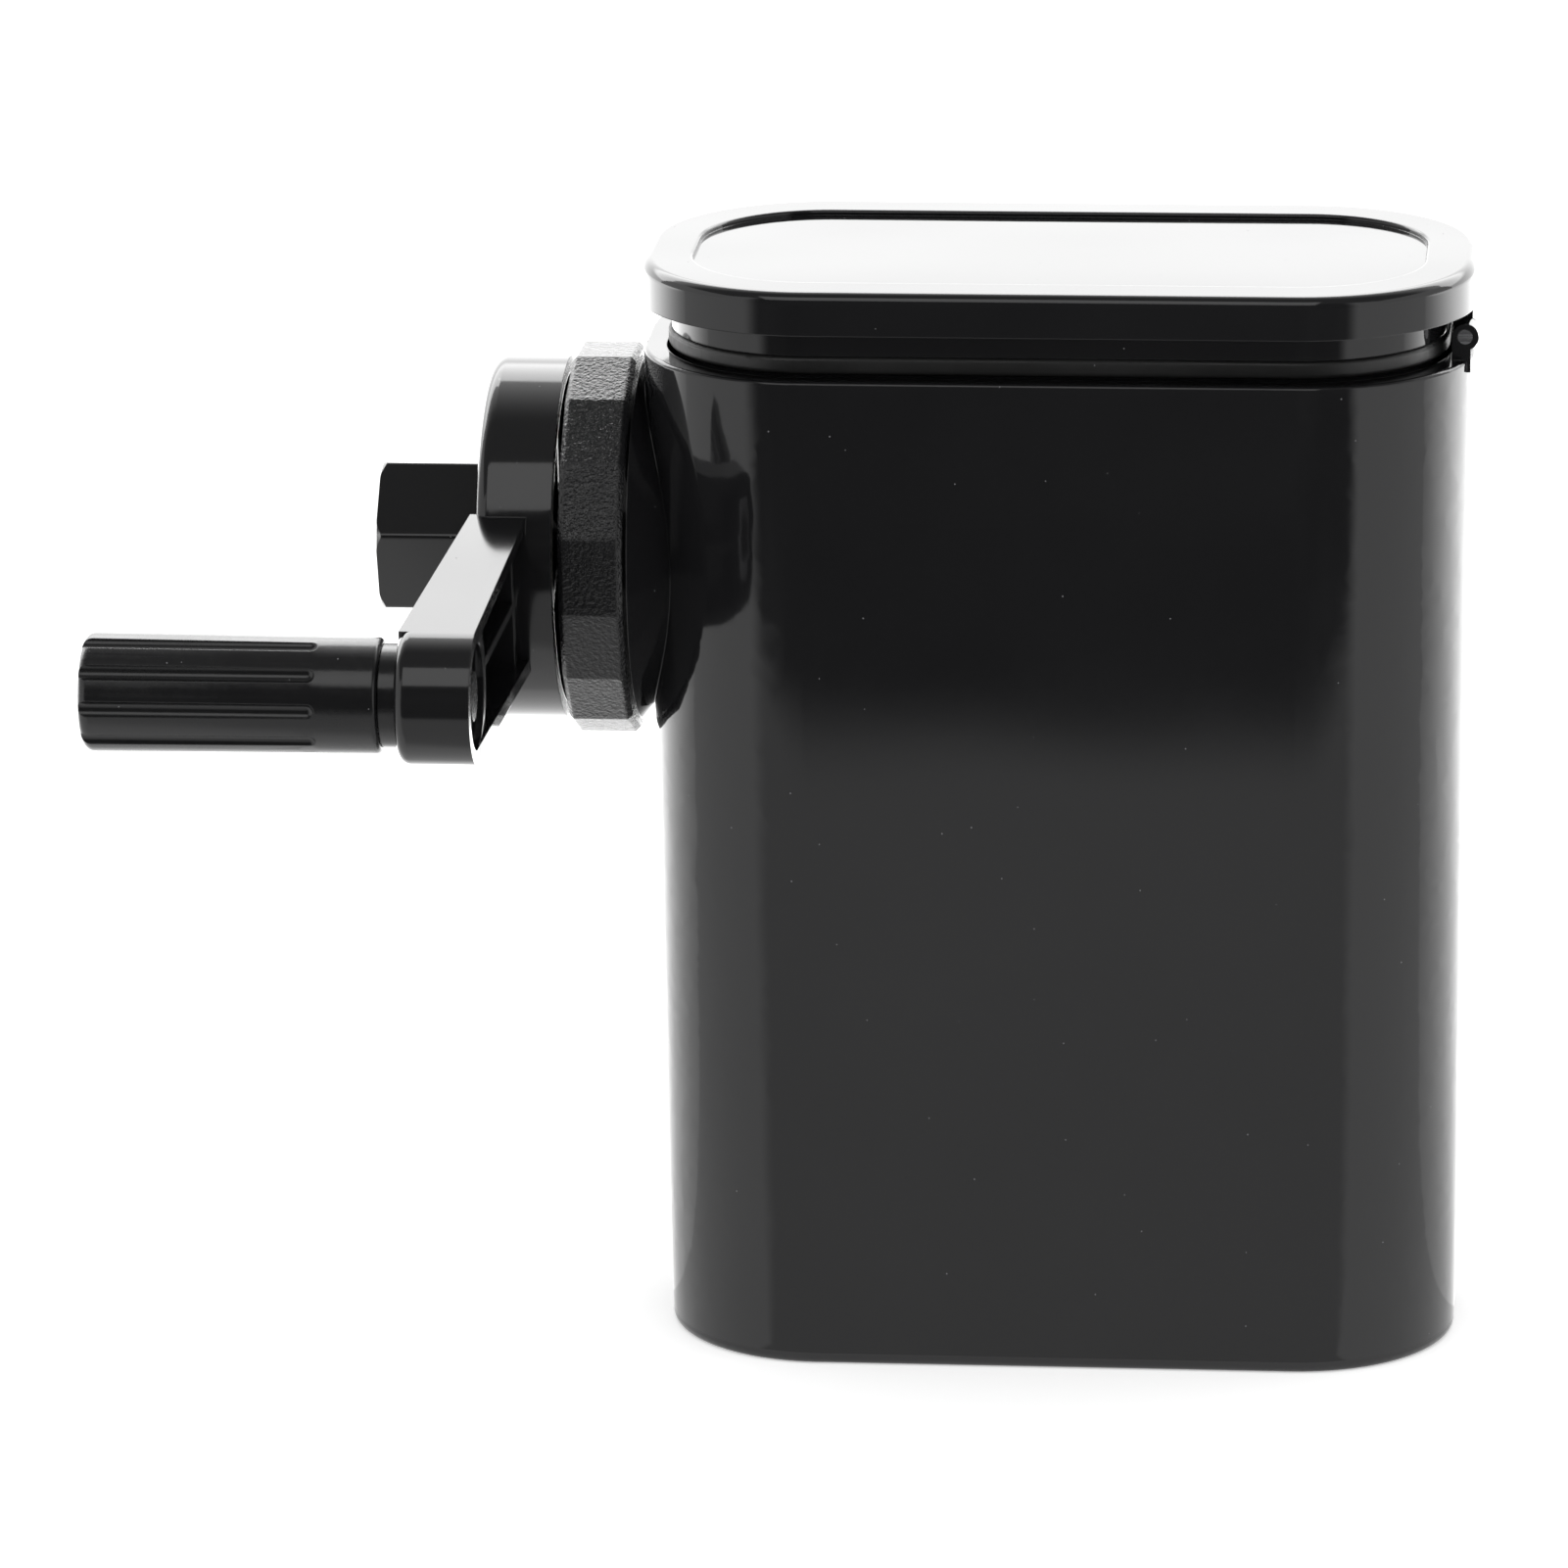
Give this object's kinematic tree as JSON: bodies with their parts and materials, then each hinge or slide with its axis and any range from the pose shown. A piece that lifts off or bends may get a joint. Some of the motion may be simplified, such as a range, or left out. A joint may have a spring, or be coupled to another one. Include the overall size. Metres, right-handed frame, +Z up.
{
  "type": "handheld salt spreader",
  "caption": "Hand-held hopper for de-icing salt with a push-in hinged lid and a side crank that turns a paddle rotor behind a gated spout.",
  "frame": {"origin": "centre of the hopper's base, on the surface that it stands on", "axes": "+Z up; X along the crank's axis with the crank at -X; +Y towards the spout"},
  "size_m": [0.2211, 0.1406, 0.1841],
  "materials": {
    "body": "gloss black moulded plastic",
    "lid": "gloss black moulded plastic",
    "ring": "satin black with leather grain",
    "crank": "gloss black moulded plastic",
    "grip": "satin black moulded plastic",
    "axle": "satin black moulded plastic",
    "drive_plastic": "satin black moulded plastic",
    "rotor": "satin dark grey moulded plastic",
    "gate": "satin black moulded plastic",
    "bush": "natural white bearing plastic",
    "washer": "natural white bearing plastic",
    "rubber": "soft black rubber",
    "steel": "bright stainless steel"
  },
  "bodies": {
    "hopper_body": {"hopper": "body", "bearing_plate": "drive_plastic", "plate_seal": "rubber", "main_bush": "bush", "end_bush": "bush", "hinge_pin": "steel", "spout": "body", "spout_screws": "steel"},
    "lid_body": {"lid": "lid", "lid_gasket": "rubber"},
    "ring": {"ring_nut": "ring"},
    "crank": {"crank_arm": "crank", "crank_washer": "washer", "drive_shaft": "steel", "thrust_washer": "steel", "retaining_clip": "steel", "rotor": "rotor", "rotor_pin": "steel", "lock_pin": "steel", "grip_axle": "axle", "axle_nut": "steel", "grip_washer": "steel", "grip_screw": "steel"},
    "knob": {"lock_knob": "crank"},
    "hand_grip": {"grip": "grip", "grip_cap": "grip"},
    "shutter": {"gate": "gate"}
  },
  "joints": [
    {"name": "crank_turn", "type": "hinge", "parent": "hopper_body", "child": "crank", "pos_m": [-0.085, 0, 0.1341], "axis": [1, 0, 0], "continuous": true},
    {"name": "grip_turn", "type": "hinge", "parent": "crank", "child": "hand_grip", "pos_m": [-0.13, -0.07158, 0.12632], "axis": [1, 0, 0], "continuous": true},
    {"name": "lock_knob_turn", "type": "hinge", "parent": "crank", "child": "knob", "pos_m": [-0.1, 0, 0.1341], "axis": [-1, 0, 0], "range_deg": [0, 90]},
    {"name": "ring_nut_turn", "type": "hinge", "parent": "hopper_body", "child": "ring", "pos_m": [-0.075, 0, 0.1341], "axis": [-1, 0, 0], "range_deg": [0, 45]},
    {"name": "lid_hinge", "type": "hinge", "parent": "hopper_body", "child": "lid_body", "pos_m": [0.0668, 0, 0.1731], "axis": [0, 1, 0], "range_deg": [0, 110]},
    {"name": "gate_slide", "type": "slide", "parent": "hopper_body", "child": "shutter", "axis": [0, 0, 1], "range_m": [0, 0.023]}
  ]
}
